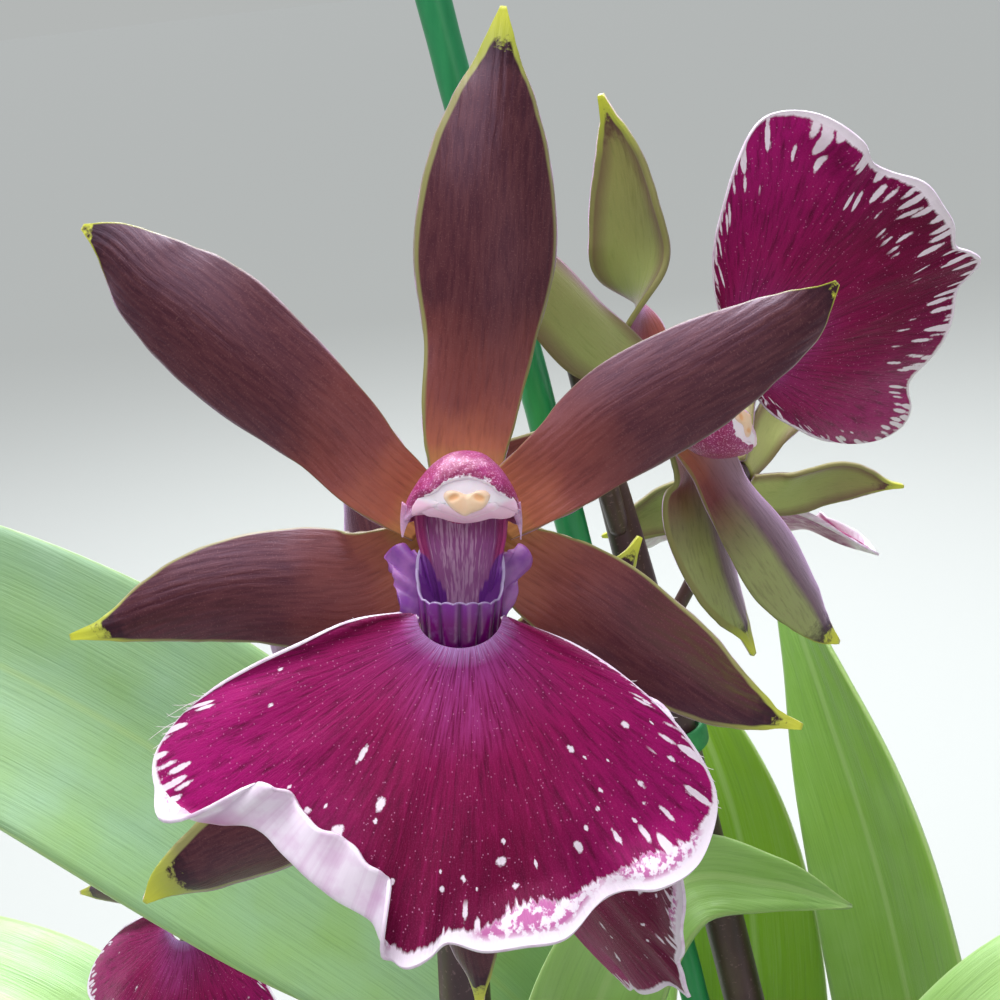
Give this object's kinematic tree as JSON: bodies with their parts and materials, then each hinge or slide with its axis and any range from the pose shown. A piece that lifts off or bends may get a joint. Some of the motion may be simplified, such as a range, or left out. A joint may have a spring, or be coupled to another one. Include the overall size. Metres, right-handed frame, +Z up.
{
  "type": "potted orchid",
  "caption": "Potted orchid with bark fill, pseudobulbs, strap leaves, staked flower stems and maroon blooms with broad magenta lips edged in white.",
  "frame": {"origin": "middle of the pot's underside, at the level it rests on", "axes": "+Z up, -Y towards the side that the main bloom faces, +X to the right as seen from there"},
  "size_m": [0.3729, 0.3668, 0.4724],
  "materials": {
    "pot_plastic": "dull terracotta-brown moulded plastic",
    "bark": "rough damp orchid bark chips",
    "pseudobulb": "smooth ribbed green plant tissue with dry tan sheaths",
    "leaf": "soft satin green leaf with fine lengthwise veins",
    "stake_plastic": "smooth green coated stake",
    "tie_plastic": "soft green plant tie",
    "flower_stem": "smooth dark maroon-green stem",
    "tepal": "satin maroon-brown petal with a yellow-green margin",
    "lip": "velvety magenta lip with white veins, spots and hem",
    "column": "waxy magenta and purple with white speckles",
    "anther": "waxy cream cap"
  },
  "bodies": {
    "root": {"pot": "pot_plastic", "bark_mix": "bark", "pseudobulb_1": "pseudobulb", "pseudobulb_2": "pseudobulb", "pseudobulb_3": "pseudobulb", "pseudobulb_4": "pseudobulb", "pseudobulb_5": "pseudobulb", "leaf_01": "leaf", "leaf_02": "leaf", "leaf_03": "leaf", "leaf_04": "leaf", "leaf_05": "leaf", "leaf_06": "leaf", "leaf_07": "leaf", "leaf_08": "leaf", "leaf_09": "leaf", "leaf_10": "leaf", "leaf_11": "leaf", "stake": "stake_plastic", "tie_1": "tie_plastic", "tie_2": "tie_plastic", "front_spike": "flower_stem", "rear_spike": "flower_stem", "left_spike": "flower_stem", "main_bloom_dorsal_sepal": "tepal", "main_bloom_petal_left": "tepal", "main_bloom_petal_right": "tepal", "main_bloom_lateral_sepal_left": "tepal", "main_bloom_lateral_sepal_right": "tepal", "main_bloom_lip": "lip", "main_bloom_column": "column", "lower_bloom_dorsal_sepal": "tepal", "lower_bloom_petal_left": "tepal", "lower_bloom_petal_right": "tepal", "lower_bloom_lateral_sepal_left": "tepal", "lower_bloom_lateral_sepal_right": "tepal", "lower_bloom_lip": "lip", "lower_bloom_column": "column", "rear_bloom_dorsal_sepal": "tepal", "rear_bloom_petal_left": "tepal", "rear_bloom_petal_right": "tepal", "rear_bloom_lateral_sepal_left": "tepal", "rear_bloom_lateral_sepal_right": "tepal", "rear_bloom_lip": "lip", "rear_bloom_column": "column", "half_open_bloom_dorsal_sepal": "tepal", "half_open_bloom_petal_left": "tepal", "half_open_bloom_petal_right": "tepal", "half_open_bloom_lateral_sepal_left": "tepal", "half_open_bloom_lateral_sepal_right": "tepal", "half_open_bloom_lip": "lip", "half_open_bloom_column": "column", "left_bloom_dorsal_sepal": "tepal", "left_bloom_petal_left": "tepal", "left_bloom_petal_right": "tepal", "left_bloom_lateral_sepal_left": "tepal", "left_bloom_lateral_sepal_right": "tepal", "left_bloom_lip": "lip", "left_bloom_column": "column", "main_bloom_anther_cap": "anther"}
  },
  "joints": []
}
